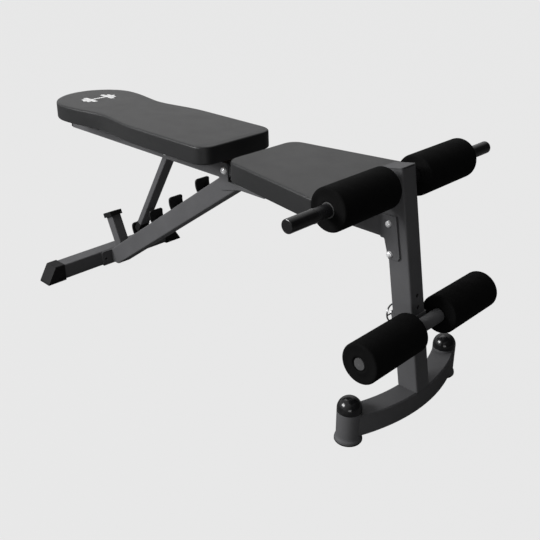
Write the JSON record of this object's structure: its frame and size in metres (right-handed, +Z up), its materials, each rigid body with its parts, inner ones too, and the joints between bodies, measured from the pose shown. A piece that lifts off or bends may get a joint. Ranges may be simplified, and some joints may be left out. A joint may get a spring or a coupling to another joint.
{
  "type": "decline sit up bench",
  "caption": "Adjustable sit up bench: padded backrest on a ladder strut, fixed seat, leaning front post with foam leg rollers and a sliding lower carriage.",
  "frame": {"origin": "on the floor, at the middle of the bench's bounding box at rest", "axes": "+X towards the leg rollers, +Y towards the left side, +Z up"},
  "size_m": [1.2949, 0.637, 0.5477],
  "materials": {
    "frame_paint": "satin charcoal powder coat, fine orange peel",
    "hook_paint": "satin black powder coat",
    "bar_paint": "smooth semi-gloss black paint",
    "black_plastic": "moulded plastic, light grain",
    "dome_plastic": "glossy moulded plastic",
    "grey_plastic": "matte grey moulded plastic",
    "rubber": "matte black rubber",
    "foam": "closed cell foam with a fine pored skin",
    "vinyl": "black upholstery vinyl with a fine leather grain",
    "plywood": "raw plywood",
    "zinc": "bright zinc plate",
    "bronze": "plain oiled bronze",
    "chrome": "bright chrome"
  },
  "bodies": {
    "frame": {"main_beam": "frame_paint", "seat_beam": "frame_paint", "seat_beam_end_plate": "frame_paint", "hinge_side_plates": "frame_paint", "ladder_hooks": "hook_paint", "rear_crossbar": "frame_paint", "rear_mounting_plate": "frame_paint", "rear_foot_cap_left": "black_plastic", "rear_foot_cap_right": "black_plastic", "decline_stop_post": "frame_paint", "decline_stop_cap": "black_plastic", "front_post": "frame_paint", "post_top_cap": "frame_paint", "post_bracket_plates": "frame_paint", "post_bracket_bolts": "zinc", "post_bracket_washers": "zinc", "post_bracket_nuts": "zinc", "front_foot_tube": "frame_paint", "front_foot_sleeves": "frame_paint", "front_dome_caps": "dome_plastic", "front_foot_pads": "rubber", "upper_roller_bar": "bar_paint", "upper_bar_grips": "dome_plastic", "seat_pad": "vinyl", "seat_board": "plywood", "seat_brackets": "frame_paint", "seat_screws": "zinc", "hinge_bolt": "zinc", "hinge_washer": "zinc", "hinge_nut": "zinc"},
    "backrest": {"backrest_channel": "frame_paint", "channel_end_cap": "black_plastic", "back_pad": "vinyl", "back_board": "plywood", "backrest_crossbars": "frame_paint", "back_pad_screws": "zinc", "hinge_bush": "bronze", "strut_pivot_bolt": "zinc", "strut_pivot_nut": "zinc"},
    "strut": {"strut_tube": "frame_paint", "strut_bush": "bronze", "strut_foot_cap": "black_plastic"},
    "carriage": {"carriage_collar": "frame_paint", "carriage_sleeve": "frame_paint", "lower_roller_bar": "bar_paint", "lower_bar_plugs": "grey_plastic", "pin_housing": "hook_paint"},
    "pull_pin": {"lock_pin": "chrome", "pull_ring": "chrome"},
    "roller_upper_left": {"foam_roller_upper_left": "foam", "roller_core_upper_left": "grey_plastic"},
    "roller_upper_right": {"foam_roller_upper_right": "foam", "roller_core_upper_right": "grey_plastic"},
    "roller_lower_left": {"foam_roller_lower_left": "foam", "roller_core_lower_left": "black_plastic"},
    "roller_lower_right": {"foam_roller_lower_right": "foam", "roller_core_lower_right": "black_plastic"}
  },
  "joints": [
    {"name": "backrest_tilt", "type": "hinge", "parent": "frame", "child": "backrest", "pos_m": [0.03255, 0, 0.421], "axis": [0, 1, 0], "range_deg": [0, 79]},
    {"name": "strut_swing", "type": "hinge", "parent": "backrest", "child": "strut", "pos_m": [-0.20025, 0, 0.415], "axis": [0, 1, 0], "range_deg": [-92, 0]},
    {"name": "carriage_slide", "type": "slide", "parent": "frame", "child": "carriage", "axis": [-0.1668, 0, 0.986], "range_m": [-0.0508, 0.0508]},
    {"name": "lock_pin_pull", "type": "slide", "parent": "carriage", "child": "pull_pin", "axis": [-0.986, 0, -0.1668], "range_m": [0, 0.005]},
    {"name": "roller_spin_upper_left", "type": "hinge", "parent": "frame", "child": "roller_upper_left", "pos_m": [0.51733, 0, 0.5052], "axis": [0, 1, 0], "continuous": true},
    {"name": "roller_spin_upper_right", "type": "hinge", "parent": "frame", "child": "roller_upper_right", "pos_m": [0.51733, 0, 0.5052], "axis": [0, 1, 0], "continuous": true},
    {"name": "roller_spin_lower_left", "type": "hinge", "parent": "carriage", "child": "roller_lower_left", "pos_m": [0.60498, 0, 0.22265], "axis": [0, 1, 0], "continuous": true},
    {"name": "roller_spin_lower_right", "type": "hinge", "parent": "carriage", "child": "roller_lower_right", "pos_m": [0.60498, 0, 0.22265], "axis": [0, 1, 0], "continuous": true}
  ],
  "couplings": [
    {"joint": "strut_swing", "follows": "backrest_tilt", "ratio": -1.15}
  ]
}
